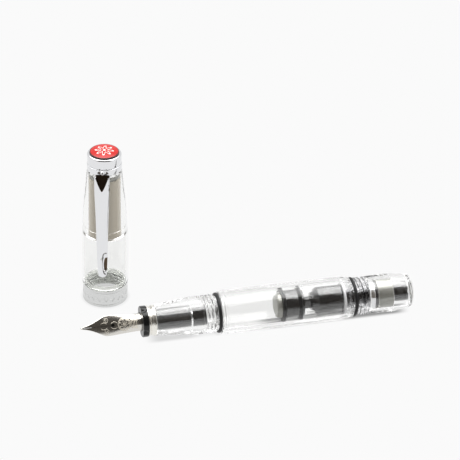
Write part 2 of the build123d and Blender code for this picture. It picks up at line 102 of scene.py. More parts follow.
def up_cap(node):
    """Lowest and highest height above the floor and radius of a piece turned about the cap's axis."""
    low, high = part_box(node)
    return low.z / MM - FLOOR_Z, high.z / MM - FLOOR_Z, (high.x - low.x) / 2 / MM


FLOOR_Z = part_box("cap_band")[0].z / MM
CAP_CENTRE = (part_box("cap_band")[0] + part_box("cap_band")[1]) / 2 / MM
CLIP_CENTRE = (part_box("clip")[0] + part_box("clip")[1]) / 2 / MM
CLIP_ANGLE = atan2(CLIP_CENTRE.y - CAP_CENTRE.y, CLIP_CENTRE.x - CAP_CENTRE.x)
PEN_PLACE = Matrix.Scale(MM, 4)
CAP_PLACE = (
    Matrix.Translation((CAP_CENTRE.x * MM, CAP_CENTRE.y * MM, FLOOR_Z * MM))
    @ Matrix.Rotation(CLIP_ANGLE, 4, "Z")
    @ Matrix.Rotation(-pi / 2, 4, "Y")
    @ Matrix.Scale(MM, 4)
)
CLIP_PLACE = (
    Matrix.Translation((CAP_CENTRE.x * MM, CAP_CENTRE.y * MM, FLOOR_Z * MM))
    @ Matrix.Rotation(CLIP_ANGLE, 4, "Z")
    @ Matrix.Scale(MM, 4)
)
NIB_PLACE = Matrix.Rotation(NIB_ROLL, 4, "X") @ Matrix.Scale(MM, 4)


# Curves

def blend_step(value, low, high):
    """0 below low, 1 above high, and a smooth step between."""
    t = min(1.0, max(0.0, (value - low) / (high - low)))
    return t * t * (3 - 2 * t)


def interpolate(points, x):
    """Smooth monotone value at x of a curve through (x, value) points."""
    count = len(points)
    if x <= points[0][0]:
        return points[0][1]
    if x >= points[-1][0]:
        return points[-1][1]
    slopes = [(points[i + 1][1] - points[i][1]) / (points[i + 1][0] - points[i][0]) for i in range(count - 1)]
    tangents = [slopes[0]]
    for before, after in zip(slopes, slopes[1:]):
        tangents.append(0.0 if before * after <= 0 else 2 * before * after / (before + after))
    tangents.append(slopes[-1])
    i = max(k for k in range(count - 1) if points[k][0] <= x)
    span = points[i + 1][0] - points[i][0]
    t = (x - points[i][0]) / span
    return (
        (2 * t**3 - 3 * t**2 + 1) * points[i][1]
        + (t**3 - 2 * t**2 + t) * span * tangents[i]
        + (3 * t**2 - 2 * t**3) * points[i + 1][1]
        + (t**3 - t**2) * span * tangents[i + 1]
    )


def curve(points, steps):
    """Points along the smooth curve through (x, value) points."""
    first, last = points[0][0], points[-1][0]
    return [
        (first + (last - first) * i / steps, interpolate(points, first + (last - first) * i / steps))
        for i in range(steps + 1)
    ]


def rows(start, end, radius, step):
    """Points of a straight cylinder wall, close enough together to carry a thread."""
    count = max(1, round(abs(end - start) / step))
    return [(start + (end - start) * i / count, radius) for i in range(count + 1)]


def rounded(points, radius=0.08, steps=3, closed=True):
    """The outline with each sharp corner replaced by a small arc."""
    result = []
    count = len(points)
    for i, point in enumerate(points):
        if not closed and i in (0, count - 1):
            result.append(point)
            continue
        here = Vector(point)
        before = Vector(points[i - 1]) - here
        after = Vector(points[(i + 1) % count]) - here
        if before.length < 1e-6 or after.length < 1e-6:
            result.append(point)
            continue
        if before.normalized().dot(after.normalized()) < -0.92:
            result.append(point)
            continue
        cut = min(radius, before.length * 0.4, after.length * 0.4)
        start = here + before.normalized() * cut
        end = here + after.normalized() * cut
        for k in range(steps + 1):
            t = k / steps
            spot = start * (1 - t) ** 2 + here * 2 * t * (1 - t) + end * t * t
            result.append((spot.x, spot.y))
    return result


def circle_outline(centre, radius, steps=28):
    return [
        (centre[0] + radius * cos(2 * pi * i / steps), centre[1] + radius * sin(2 * pi * i / steps))
        for i in range(steps)
    ]


# Meshes

def piece_from(name, vertices, faces, place, material, body, sharp=35.0):
    """Makes a closed, smooth-shaded piece that rides on a body."""
    mesh = bpy.data.meshes.new(name)
    mesh.from_pydata([place @ Vector(v) for v in vertices], [], faces)
    work = bmesh.new()
    work.from_mesh(mesh)
    bmesh.ops.recalc_face_normals(work, faces=work.faces)
    work.to_mesh(mesh)
    work.free()
    mesh.polygons.foreach_set("use_smooth", [True] * len(mesh.polygons))
    mesh.set_sharp_from_angle(angle=radians(sharp))
    piece = bpy.data.objects.new(name, mesh)
    bpy.context.scene.collection.objects.link(piece)
    mesh.materials.append(material)
    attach(piece, body)
    return piece


def turned(name, outline, place, material, body, radius_at=None, segments=SEGMENTS, closed=True, sharp=35.0):
    """Piece made by turning an outline of (along, radius) points about the X axis of place.
    A point on the axis becomes a pole. radius_at(along, radius, angle) may shape each point;
    angle is right-handed about X from -Z."""
    vertices = []
    rings = []
    for along, radius in outline:
        if radius < 1e-6:
            rings.append([len(vertices)])
            vertices.append((along, 0, 0))
            continue
        ring = []
        for j in range(segments):
            angle = 2 * pi * j / segments
            shaped = radius_at(along, radius, angle) if radius_at else radius
            ring.append(len(vertices))
            vertices.append((along, shaped * sin(angle), -shaped * cos(angle)))
        rings.append(ring)
    faces = []
    pairs = list(zip(rings, rings[1:]))
    if closed:
        pairs.append((rings[-1], rings[0]))
    for first, second in pairs:
        for j in range(segments):
            k = (j + 1) % segments
            if len(first) == 1 and len(second) == 1:
                continue
            if len(first) == 1:
                faces.append((first[0], second[k], second[j]))
            elif len(second) == 1:
                faces.append((first[j], first[k], second[0]))
            else:
                faces.append((first[j], first[k], second[k], second[j]))
    return piece_from(name, vertices, faces, place, material, body, sharp)


def thread(start, end, pitch, depth, foot, tip):
    """radius_at for a right-handed thread of the given depth on the wall between start and end."""

    def radius_at(along, radius, angle):
        if along < start or along > end:
            return radius
        phase = ((along - start) / pitch - angle / (2 * pi)) % 1.0
        distance = abs((phase + 0.5) % 1.0 - 0.5) * pitch
        height = min(1.0, max(0.0, (foot / 2 - distance) / (foot / 2 - tip / 2)))
        height = height * height * (3 - 2 * height)
        fade = blend_step(along, start, start + 0.35) * (1 - blend_step(along, end - 0.35, end))
        return radius + depth * height * fade

    return radius_at


def applied(piece):
    """Applies the piece's modifiers to its mesh."""
    scene_state = bpy.context.evaluated_depsgraph_get()
    mesh = bpy.data.meshes.new_from_object(piece.evaluated_get(scene_state))
    piece.modifiers.clear()
    piece.data = mesh
    return piece


# Materials

def new_material(name):
    material = bpy.data.materials.new(name)
    material.use_nodes = True
    nodes = material.node_tree.nodes
    return material, nodes, material.node_tree.links, nodes["Principled BSDF"]


def noise(nodes, links, scale, detail=3.0, stretch=(1, 1, 1)):
    """Noise in object space. scale is in features for each metre."""
    place = nodes.new("ShaderNodeTexCoord")
    mapping = nodes.new("ShaderNodeMapping")
    mapping.inputs["Scale"].default_value = stretch
    texture = nodes.new("ShaderNodeTexNoise")
    texture.inputs["Scale"].default_value = scale
    texture.inputs["Detail"].default_value = detail
    links.new(place.outputs["Object"], mapping.inputs["Vector"])
    links.new(mapping.outputs["Vector"], texture.inputs["Vector"])
    return texture.outputs["Fac"]


def remap(nodes, links, value, low, high, start=0.3, end=0.7):
    """low to high as value goes from start to end."""
    node = nodes.new("ShaderNodeMapRange")
    node.inputs["From Min"].default_value = start
    node.inputs["From Max"].default_value = end
    node.inputs["To Min"].default_value = low
    node.inputs["To Max"].default_value = high
    links.new(value, node.inputs["Value"])
    return node.outputs["Result"]


def attribute(nodes, name):
    node = nodes.new("ShaderNodeAttribute")
    node.attribute_name = name
    return node.outputs["Fac"]


def mixed(nodes, links, factor, first, second):
    """Colour from first to second as factor goes from 0 to 1; each is (r, g, b) or another node's output."""
    node = nodes.new("ShaderNodeMix")
    node.data_type = "RGBA"
    for name, color in (("A", first), ("B", second)):
        if isinstance(color, tuple):
            node.inputs[name].default_value = (*color, 1)
        else:
            links.new(color, node.inputs[name])
    links.new(factor, node.inputs["Factor"])
    return node.outputs["Result"]


def bump(nodes, links, shader, height, depth):
    """Bump of the given depth in millimetres."""
    node = nodes.new("ShaderNodeBump")
    node.inputs["Strength"].default_value = 1.0
    node.inputs["Distance"].default_value = depth * MM
    links.new(height, node.inputs["Height"])
    links.new(node.outputs["Normal"], shader.inputs["Normal"])


def set_inputs(shader, **values):
    names = {
        "color": "Base Color", "metallic": "Metallic", "roughness": "Roughness", "ior": "IOR",
        "transmission": "Transmission Weight", "coat": "Coat Weight", "coat_roughness": "Coat Roughness",
        "specular": "Specular IOR Level",
    }
    for key, value in values.items():
        shader.inputs[names[key]].default_value = (*value, 1.0) if key == "color" else value


def rough_material(name, scale, low, high, **values):
    """Material whose roughness wanders from low to high with a noise of the given scale."""
    material, nodes, links, shader = new_material(name)
    set_inputs(shader, **values)
    links.new(remap(nodes, links, noise(nodes, links, scale), low, high), shader.inputs["Roughness"])
    return material, nodes, links, shader


def clear_plastic(name, color, flank_shade_colour, ior):
    """Clear plastic; its second colour is painted shade on the sloping sides of a thread, where the flank
    mask is 1, standing in for the dark lines the threads refract.
    """
    material, nodes, links, shader = rough_material(
        name, 900.0, 0.0, 0.02, transmission=1.0, ior=ior, specular=0.2)
    tint = mixed(nodes, links, attribute(nodes, "painted_flank_shade"), color, flank_shade_colour)
    links.new(tint, shader.inputs["Base Color"])
    return material


def black_plastic():
    return rough_material("black_plastic", 2500.0, 0.05, 0.11, color=(0.008, 0.008, 0.009), ior=1.62,
                          coat=1.0, coat_roughness=0.03)[0]


def satin_black():
    return rough_material("satin_black", 2500.0, 0.16, 0.24, color=(0.006, 0.006, 0.006), specular=0.4)[0]


def black_rubber():
    material, nodes, links, shader = rough_material(
        "black_rubber", 4000.0, 0.32, 0.5, color=(0.010, 0.010, 0.010), specular=0.3)
    bump(nodes, links, shader, noise(nodes, links, 9000.0), 0.004)
    return material


def smoke_plastic():
    return rough_material("smoke_plastic", 1800.0, 0.30, 0.38, color=(0.30, 0.30, 0.275), metallic=0.7,
                          ior=1.49)[0]


def pale_plastic():
    return rough_material("pale_plastic", 2000.0, 0.15, 0.3, color=(0.82, 0.82, 0.83), transmission=0.3,
                          ior=1.49)[0]


def insert_plastic():
    return rough_material("insert_plastic", 2000.0, 0.06, 0.16, color=(0.90, 0.915, 0.88), ior=1.45,
                          transmission=0.8)[0]


def liner_plastic():
    material, nodes, links, shader = new_material("liner_plastic")
    streaks = noise(nodes, links, 60.0, 4.0, (6, 6, 1))
    tint = mixed(nodes, links, streaks, (0.42, 0.375, 0.295), (0.54, 0.49, 0.40))
    links.new(tint, shader.inputs["Base Color"])
    set_inputs(shader, roughness=0.28, ior=1.49)
    bump(nodes, links, shader, noise(nodes, links, 1200.0), 0.003)
    return material


def chrome():
    material, nodes, links, shader = rough_material(
        "chrome", 1500.0, 0.03, 0.09, color=(0.79, 0.795, 0.81), metallic=1.0)
    bump(nodes, links, shader, noise(nodes, links, 600.0), 0.0015)
    return material


def satin_chrome():
    return rough_material("satin_chrome", 1500.0, 0.24, 0.32, color=(0.84, 0.82, 0.77), metallic=1.0)[0]


def clip_chrome():
    """Chrome with painted shade and a painted dark reflection on the clip's top facet and side scoop, where
    the mask attribute is above about 0.4.
    """
    material, nodes, links, shader = new_material("clip_chrome")
    shade_reflection_mask = remap(nodes, links, attribute(nodes, "painted_shade_reflection"), 0.0, 1.0, 0.38, 0.46)
    streaks = noise(nodes, links, 350.0, 2.0)
    # Painted dark-brown reflection and shade, streaked, for the facet and scoop.
    painted_dark_colour = mixed(nodes, links, streaks, (0.045, 0.035, 0.028), (0.16, 0.11, 0.07))
    links.new(mixed(nodes, links, shade_reflection_mask, (0.79, 0.795, 0.81), painted_dark_colour), shader.inputs["Base Color"])
    links.new(remap(nodes, links, shade_reflection_mask, 0.06, 0.3, 0.0, 1.0), shader.inputs["Roughness"])
    set_inputs(shader, metallic=1.0)
    bump(nodes, links, shader, noise(nodes, links, 600.0), 0.0015)
    return material


def band_metal():
    material, nodes, links, shader = new_material("band_metal")
    set_inputs(shader, color=(0.68, 0.685, 0.68), metallic=1.0)
    brushed = noise(nodes, links, 600.0, 4.0, (1, 1, 14))
    links.new(remap(nodes, links, brushed, 0.18, 0.34), shader.inputs["Roughness"])
    bump(nodes, links, shader, brushed, 0.004)
    return material


def nib_steel():
    """Polished steel; the attribute engraving is 1 on the cut lines, which are paler and rougher."""
    material, nodes, links, shader = new_material("nib_steel")
    cut = attribute(nodes, "engraving")
    links.new(mixed(nodes, links, cut, (0.70, 0.68, 0.64), (0.90, 0.84, 0.72)), shader.inputs["Base Color"])
    links.new(remap(nodes, links, cut, 0.20, 0.6, 0.0, 1.0), shader.inputs["Roughness"])
    set_inputs(shader, metallic=1.0)
    bump(nodes, links, shader, noise(nodes, links, 2500.0, 3.0, (1, 6, 6)), 0.0015)
    return material


def jewel_red():
    """Red enamel under a gloss coat; the attribute pattern is 1 on the pale rosette, -1 on the dark rim."""
    material, nodes, links, shader = rough_material(
        "jewel_red", 1500.0, 0.05, 0.12, specular=0.3, coat=0.2, coat_roughness=0.03)
    pattern = attribute(nodes, "pattern")
    tint = mixed(nodes, links, pattern, (0.44, 0.006, 0.003), (0.86, 0.74, 0.70))
    rim = remap(nodes, links, pattern, 0.0, 1.0, 0.0, -1.0)
    links.new(mixed(nodes, links, rim, tint, (0.05, 0.008, 0.008)), shader.inputs["Base Color"])
    return material


def inlay_paint():
    return rough_material("inlay_paint", 2500.0, 0.2, 0.35, color=(0.42, 0.006, 0.008), metallic=0.3)[0]


# The last colour of each clear plastic is painted shade on its thread flanks.
CLEAR = clear_plastic("clear_plastic", (0.955, 0.956, 0.951), (0.50, 0.50, 0.50), 1.49)
SOFT_CLEAR = clear_plastic("soft_clear_plastic", (0.955, 0.956, 0.951), (0.50, 0.50, 0.50), 1.34)
GREY_CLEAR = clear_plastic("grey_clear_plastic", (0.90, 0.90, 0.91), (0.015, 0.015, 0.017), 1.49)
BLACK = black_plastic()
SATIN_BLACK = satin_black()
SATIN_CHROME = satin_chrome()
CLIP_CHROME = clip_chrome()
RUBBER = black_rubber()
SMOKE = smoke_plastic()
PALE = pale_plastic()
INSERT = insert_plastic()
LINER = liner_plastic()
CHROME = chrome()
BAND = band_metal()
STEEL = nib_steel()
RED = jewel_red()
INLAY = inlay_paint()


def stands_for(piece, node):
    """piece takes the CAD node's place; a piece for a clear plastic node is kept out of shadow and diffuse
    rays.
    """
    slots = {part["node"]: part["material_slot"] for part in frame["record"]["subparts"]}
    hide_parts(node)
    if slots[node] == "clear_plastic":
        piece.visible_shadow = False
        piece.visible_diffuse = False


def second_finish(piece, material, place, chosen):
    """Gives the faces whose middle, in the pen's or cap's own millimetres, is chosen another finish."""
    piece.data.materials.append(material)
    into_local = place.inverted()
    for polygon in piece.data.polygons:
        if chosen(into_local @ polygon.center):
            polygon.material_index = 1


def write_attribute(piece, name, values):
    mask = piece.data.attributes.new(name, "FLOAT", "POINT")
    mask.data.foreach_set("value", values)


def shade_flanks(piece, start, end, root_r, depth):
    """Writes the mask for painted shade on threads: 1 halfway up a thread's sides, 0 on its root and crest.
    """
    values = []
    for vertex in piece.data.vertices:
        along = vertex.co.x / MM
        share = (sqrt(vertex.co.y**2 + vertex.co.z**2) / MM - root_r) / depth
        inside = start < along < end and 0 < share < 1
        values.append(4 * share * (1 - share) if inside else 0.0)
    write_attribute(piece, "painted_flank_shade", values)


# Pen pieces

def make_barrel():
    """Faceted tube: long triangles between two 12-sided rings, with a round collar at each end."""
    start, end, apothem = along_pen("barrel")
    sides = 12
    share = 8
    count = sides * share
    bore_r = along_pen("piston_seal")[2] + FIT
    front_collar_r = 6.85
    rear_collar_r = 6.55
    collar = 1.6
    edge = 0.18
    front_r = apothem / cos(pi / sides)
    rear_r = apothem
    vertices = []

    def ring(x, radius, number, offset=0.0):
        first = len(vertices)
        for i in range(number):
            angle = 2 * pi * (i + offset) / number
            vertices.append((x, radius * sin(angle), -radius * cos(angle)))
        return [first + i for i in range(number)]

    bore_front = ring(start, bore_r, count)
    lip_front = ring(start, front_collar_r - edge, count)
    edge_front = ring(start + edge, front_collar_r, count)
    foot_front = ring(start + collar, front_collar_r, count)
    front = ring(start + collar, front_r, sides, 0.5)
    rear = ring(end - collar, rear_r, sides)
    foot_rear = ring(end - collar, rear_collar_r, count)
    edge_rear = ring(end - edge, rear_collar_r, count)
    lip_rear = ring(end, rear_collar_r - edge, count)
    bore_rear = ring(end, bore_r, count)
    faces = []

    def wall(first, second):
        for i in range(count):
            k = (i + 1) % count
            faces.append((first[i], first[k], second[k], second[i]))

    def bridge(circle, polygon, offset):
        """Flat ring between a circle and a polygon whose corners sit offset sides round."""
        for side in range(sides):
            corner = polygon[side]
            base = side * share + round(offset * share)
            for step in range(-share // 2, share // 2):
                i = (base + step) % count
                faces.append((circle[i], circle[(i + 1) % count], corner))
            half = (base + share // 2) % count
            faces.append((circle[half], polygon[(side + 1) % sides], corner))

    wall(bore_front, lip_front)
    wall(lip_front, edge_front)
    wall(edge_front, foot_front)
    bridge(foot_front, front, 0.5)
    facet_edges = set()
    for i in range(sides):
        k = (i + 1) % sides
        faces.append((front[i], front[k], rear[k]))
        faces.append((rear[i], rear[k], front[i]))
        facet_edges.add(frozenset((front[i], rear[i])))
        facet_edges.add(frozenset((front[i], rear[k])))
        facet_edges.add(frozenset((front[i], front[k])))
        facet_edges.add(frozenset((rear[i], rear[k])))
    bridge(foot_rear, rear, 0.0)
    wall(foot_rear, edge_rear)
    wall(edge_rear, lip_rear)
    wall(lip_rear, bore_rear)
    wall(bore_rear, bore_front)
    piece = piece_from("clear_barrel", vertices, faces, PEN_PLACE, SOFT_CLEAR, "pen", sharp=6.0)
    weights = piece.data.attributes.new("bevel_weight_edge", "FLOAT", "EDGE")
    for edge_item in piece.data.edges:
        if frozenset(edge_item.vertices) in facet_edges:
            weights.data[edge_item.index].value = 1.0
    soften = piece.modifiers.new("facet_edges", "BEVEL")
    soften.limit_method = "WEIGHT"
    soften.width = 0.12 * MM
    soften.segments = 3
    applied(piece)
    stands_for(piece, "barrel")


def make_orings():
    for name, node in (("front_seal_ring", "front_oring"), ("rear_seal_ring", "rear_oring")):
        start, end, radius = along_pen(node)
        wire = (end - start) / 2
        outline = circle_outline(((start + end) / 2, radius - wire), wire)
        stands_for(turned(name, outline, PEN_PLACE, RUBBER, "pen"), node)


def make_section():
    start, end, _ = along_pen("section")
    thread_start, thread_end = start + 15.4, start + 19.7
    sleeve_start, sleeve_end, sleeve_r = along_pen("feed_sleeve")
    housing_end = along_pen("nib_housing")[1] + 0.1
    ink_hole_r = 1.2
    housing_r = 3.65 + FIT
    groove_r = 5.35
    spigot_r = 5.5
    barrel_front = along_pen("barrel")[0]
    grip_points = [(start + 0.15, 4.97), (start + 6.9, 5.6), (start + 12.1, 6.1), (thread_start - 0.7, 6.2)]
    grip = curve(grip_points, 40)
    shoulder = [(thread_start - 0.45, 6.17), (thread_start - 0.1, 5.9)]
    walls = rows(thread_start, thread_end, THREAD_ROOT_R, CAP_THREAD_PITCH / 14)
    tail = rounded([
        (thread_end + 0.01, THREAD_ROOT_R),
        (thread_end + 0.05, groove_r),
        (barrel_front, groove_r),
        (barrel_front, spigot_r),
        (end, spigot_r),
        (end, 4.4),
        (sleeve_end + 0.1, sleeve_r + FIT),
        (sleeve_start - FIT, sleeve_r + FIT),
        (sleeve_start - FIT, ink_hole_r),
        (housing_end, ink_hole_r),
        (housing_end, housing_r),
        (start, housing_r),
        (start, 4.85),
    ], closed=False)
    shape = thread(thread_start + 0.1, thread_end - 0.05, CAP_THREAD_PITCH, THREAD_DEPTH, 0.95, 0.3)
    piece = turned("clear_section", grip + shoulder + walls + tail, PEN_PLACE, CLEAR, "pen", radius_at=shape)
    shade_flanks(piece, thread_start, thread_end, THREAD_ROOT_R, THREAD_DEPTH)
    stands_for(piece, "section")


def make_trim_ring():
    start, end, radius = along_pen("trim_ring")
    bore_r = 3.65 + FIT
    outer = curve([(start + 0.75, 4.62), (start + 1.1, 4.6), (end - 0.75, 4.88), (end - 0.12, radius)], 16)
    outline = rounded([(end, radius - 0.1), (end, bore_r), (start, bore_r), (start, radius - 0.12)], 0.05)
    front_lip = [(start + 0.08, radius - 0.05), (start + 0.5, radius - 0.05), (start + 0.62, radius - 0.2)]
    piece = turned("trim_ring_bright", outer + outline + front_lip, PEN_PLACE, SATIN_CHROME, "pen")
    stands_for(piece, "trim_ring")


def make_housing():
    """Black holder with two flange rings; four scallops break the front one."""
    start, end, radius = along_pen("nib_housing")
    rear = along_pen("trim_ring")[0] - FIT
    ring = 1.05
    groove_r = radius - 0.4
    tube_r = 3.65
    bore_r = 3.0

    def scallops(along, here, angle):
        if here < groove_r + 0.01 or along > start + ring + 0.02:
            return here
        turn = angle - pi - NIB_ROLL
        distance = abs(((turn + pi / 4) / (pi / 2)) % 1.0 - 0.5) * 2
        if distance <= 0.7:
            return here
        return here - 0.5 * (1 - blend_step(1 - distance, 0.0, 0.30))

    outline = rounded([
        (start, bore_r),
        (start, radius - 0.15),
        (start + 0.15, radius),
        (start + ring, radius),
        (start + ring + 0.05, groove_r),
        (rear - ring - 0.05, groove_r),
        (rear - ring, radius),
        (rear, radius),
        (rear, tube_r),
        (end, tube_r),
        (end, bore_r),
    ], 0.12, 4)
    piece = turned("nib_holder", outline, PEN_PLACE, BLACK, "pen", radius_at=scallops, segments=240)
    second_finish(piece, SATIN_BLACK, PEN_PLACE, lambda spot: spot.x < rear)
    stands_for(piece, "nib_housing")


NIB_HALF_WIDTH = [
    (-44.75, 0.22), (-44.3, 0.36), (-43.4, 0.55), (-42.0, 0.98), (-40.5, 1.62), (-39.0, 2.38), (-37.8, 2.98),
    (-37.0, 3.22), (-36.2, 3.25), (-35.0, 3.2), (-33.0, 3.06), (-30.0, 2.9), (-26.7, 2.85), (-16.0, 2.85),
]
NIB_CROWN = [
    (-44.75, 0.1), (-43.4, 0.45), (-41.5, 1.2), (-39.5, 1.8), (-37.4, 2.2), (-35.5, 2.5), (-33.0, 2.75),
    (-30.0, 2.9), (-26.7, 2.95), (-16.0, 2.95),
]
NIB_CURVATURE = [
    (-44.75, 2.6), (-43.4, 4.2), (-41.5, 6.6), (-39.5, 8.4), (-37.4, 9.0), (-35.5, 8.6), (-33.0, 6.9),
    (-30.0, 4.5), (-27.6, 3.1), (-26.7, 2.95), (-16.0, 2.95),
]


def nib_point(x, share, thickness):
    """Point of the nib's outer face at x, share of the half-width from the middle, sunk by thickness."""
    curvature = interpolate(NIB_CURVATURE, x)
    top = interpolate(NIB_CROWN, x)
    half_angle = asin(min(0.985, interpolate(NIB_HALF_WIDTH, x) / curvature))
    angle = share * half_angle
    radius = curvature - thickness
    return (x, -radius * sin(angle), top - curvature + radius * cos(angle))


def line(value, centre, width):
    """1 on a line of the given width, fading to 0 beside it."""
    return 1 - blend_step(abs(value - centre), width / 2, width)


def engraving(x, side):
    """Depth share of the ornament at x and side, both in millimetres along the nib's face:
    a round rosette, a ladder behind it and a pair of scrolls beside the breather hole."""
    depth = 0.0
    rosette_x, rosette_r = -31.3, 1.95
    distance = sqrt((x - rosette_x) ** 2 + side**2)
    angle = atan2(side, x - rosette_x)
    if distance < rosette_r + 0.2:
        depth = max(depth, line(distance, rosette_r, 0.14), line(distance, rosette_r - 0.32, 0.08))
        petals = 1.05 + 0.45 * cos(7 * angle)
        depth = max(depth, line(distance, petals, 0.16), line(distance, 0.35, 0.12))
        depth = max(depth, line(sin(7 * angle) * distance, 0.0, 0.16) * (distance < 1.0))
    ladder_start, ladder_end = -29.2, -26.7
    if ladder_start < x < ladder_end and abs(side) < 1.3:
        depth = max(depth, line((x - ladder_start) % 0.5, 0.25, 0.14), line(abs(side), 1.2, 0.12))
    scroll_x, scroll_side = -37.0, 1.7
    distance = sqrt((x - scroll_x) ** 2 + (abs(side) - scroll_side) ** 2)
    if distance < 1.0:
        angle = atan2(abs(side) - scroll_side, x - scroll_x)
        turn = (distance - 0.24 * angle / pi) % 0.48
        depth = max(depth, line(turn, 0.24, 0.08) * (distance < 0.9))
    if -38.6 < x < -33.6:
        arm = 0.75 + 0.35 * sin((x + 38.6) * 1.9)
        depth = max(depth, line(abs(side), arm, 0.12) * (abs(side) > 0.62))
    return depth


def make_nib():
    """Rolled steel blade with its slit, breather hole, tipping ball and cut ornament."""
    tip, tail = -44.75, -16.0
    slit_end, hole_r = -34.9, 0.52
    lengthwise, across = 420, 90
    gap = 0.05
    cut = 0.018
    stations = [tip + (tail - tip) * (i / lengthwise) ** 1.15 for i in range(lengthwise + 1)]
    vertices = []
    depths = []
    faces = []

    def half(sign):
        """One side of the blade, from the slit or the centre line to the edge."""
        layers = []
        for thickness in (0.0, NIB_THICKNESS):
            grid = []
            for x in stations:
                width = interpolate(NIB_HALF_WIDTH, x)
                inner = 0.0
                if x < slit_end + hole_r:
                    inner = gap
                    if abs(x - slit_end) < hole_r:
                        inner = max(gap, sqrt(hole_r**2 - (x - slit_end) ** 2))
                inner_share = min(0.4, inner / width)
                row = []
                for j in range(across + 1):
                    share = inner_share + (1 - inner_share) * j / across
                    side = share * width
                    depth = engraving(x, sign * side) if thickness == 0.0 and x < -27.0 else 0.0
                    bevel = 0.06 * blend_step(share, 1 - 0.08 / width * 1.6, 1.0) if thickness == 0.0 else 0.0
                    row.append(len(vertices))
                    vertices.append(nib_point(x, sign * share, thickness + cut * depth + bevel))
                    depths.append(depth)
                grid.append(row)
            layers.append(grid)
        top, under = layers
        for i in range(lengthwise):
            for j in range(across):
                faces.append((top[i][j], top[i][j + 1], top[i + 1][j + 1], top[i + 1][j]))
                faces.append((under[i][j], under[i + 1][j], under[i + 1][j + 1], under[i][j + 1]))
            faces.append((top[i][across], under[i][across], under[i + 1][across], top[i + 1][across]))
            faces.append((top[i][0], top[i + 1][0], under[i + 1][0], under[i][0]))
        for i in (0, lengthwise):
            for j in range(across):
                faces.append((top[i][j], under[i][j], under[i][j + 1], top[i][j + 1]))

    half(1)
    half(-1)
    piece = piece_from("steel_nib", vertices, faces, NIB_PLACE, STEEL, "pen", sharp=50.0)
    write_attribute(piece, "engraving", depths)
    stands_for(piece, "nib")
    ball_r = 0.4
    ball_x = tip - 0.15 + ball_r
    steps = 16
    outline = [(ball_x - ball_r, 0.0)]
    for i in range(1, steps):
        angle = pi * i / steps
        outline.append((ball_x - ball_r * cos(angle), ball_r * 0.8 * sin(angle)))
    outline.append((ball_x + ball_r, 0.0))
    ball = turned("nib_tipping", outline, NIB_PLACE, STEEL, "pen", segments=32, closed=False)


def make_feed():
    """Black feed: a body that tapers under the nib, with fins cut across its underside."""
    start, end, _ = along_pen("feed")
    shoulder = -28.0
    tail_start = -15.5
    taper = [(start, 0.35), (-38.5, 1.05), (-33.5, 1.95), (-30.0, 2.35), (shoulder, 2.5)]
    fins_start, fins_end, fin_pitch = -36.5, -28.2, 0.75

    def fins(along, here, angle):
        if not fins_start < along < fins_end or abs(angle) > 2 * pi:
            return here
        below = cos(angle)
        slot = line((along - fins_start) % fin_pitch, fin_pitch / 2, 0.28)
        return here - min(0.8, here * 0.45) * slot * blend_step(below, -0.1, 0.25)

    nose = [(start - 0.2, 0.0)] + curve(taper, 170)
    tail_points = [(shoulder, 2.5), (tail_start, 2.5), (tail_start, 2.4), (end, 2.4), (end, 0.0)]
    outline = nose + rounded(tail_points, 0.1, closed=False)[1:]
    piece = turned("ink_feed", outline, NIB_PLACE, BLACK, "pen", radius_at=fins, segments=96, closed=False)
    stands_for(piece, "feed")


def make_sleeve(name, node, material, body, inner_r, place=PEN_PLACE, measure=along_pen, bevel=0.08):
    """Plain ring or sleeve with softened edges."""
    start, end, radius = measure(node)
    outline = rounded([(start, inner_r), (start, radius), (end, radius), (end, inner_r)], bevel)
    piece = turned(name, outline, place, material, body)
    stands_for(piece, node)


def make_piston():
    nose_start, nose_end, nose_r = along_pen("piston_nose")
    seal_start, seal_end, seal_r = along_pen("piston_seal")
    stem_r = 2.4
    nose = rounded([
        (nose_start, 0.0), (nose_start, 3.35), (nose_start + 0.55, 3.9), (seal_start - FIT, nose_r),
        (seal_start - FIT, stem_r), (seal_end, stem_r), (seal_end, 1.0), (nose_end, 1.0), (nose_end, 0.0),
    ], 0.15, 4, closed=False)
    stands_for(turned("piston_nose_cap", nose, PEN_PLACE, SMOKE, "piston", closed=False), "piston_nose")
    waist_r = 4.6
    lip, flare = 0.5, 0.65
    seal = rounded([
        (seal_start, stem_r + FIT), (seal_start, seal_r - 0.12), (seal_start + 0.12, seal_r),
        (seal_start + lip, seal_r), (seal_start + lip + flare, waist_r),
        (seal_end - lip - flare, waist_r), (seal_end - lip, seal_r),
        (seal_end - 0.12, seal_r), (seal_end, seal_r - 0.12), (seal_end, stem_r + FIT),
    ], 0.1)
    stands_for(turned("piston_wiper", seal, PEN_PLACE, RUBBER, "piston"), "piston_seal")
    waist_start, waist_end = seal_start + lip + flare - 0.1, seal_end - lip - flare + 0.1
    waist = rounded([
        (waist_start, waist_r - 0.3), (waist_start, waist_r + 0.04), (waist_end, waist_r + 0.04),
        (waist_end, waist_r - 0.3),
    ], 0.02)
    turned("piston_waist", waist, PEN_PLACE, BLACK, "piston")


def make_guide():
    start, end, radius = along_pen("piston_guide")
    shoulder = along_pen("guide_ring")[0] - FIT
    bore_r = 3.55
    wall = start + 2.3
    key_r = 1.95
    outline = rounded([
        (start, key_r), (start, 2.9), (start + 0.7, 3.2), (start + 2.0, radius - 0.05), (start + 2.3, radius),
        (start + 2.9, radius), (start + 2.95, radius - 0.12), (start + 3.2, radius - 0.12),
        (start + 3.25, radius), (shoulder, radius), (shoulder, 3.9), (end, 3.9), (end, bore_r),
        (wall, bore_r), (wall, key_r),
    ], 0.08)
    piece = turned("piston_guide_sleeve", outline, PEN_PLACE, BLACK, "pen")
    stands_for(piece, "piston_guide")


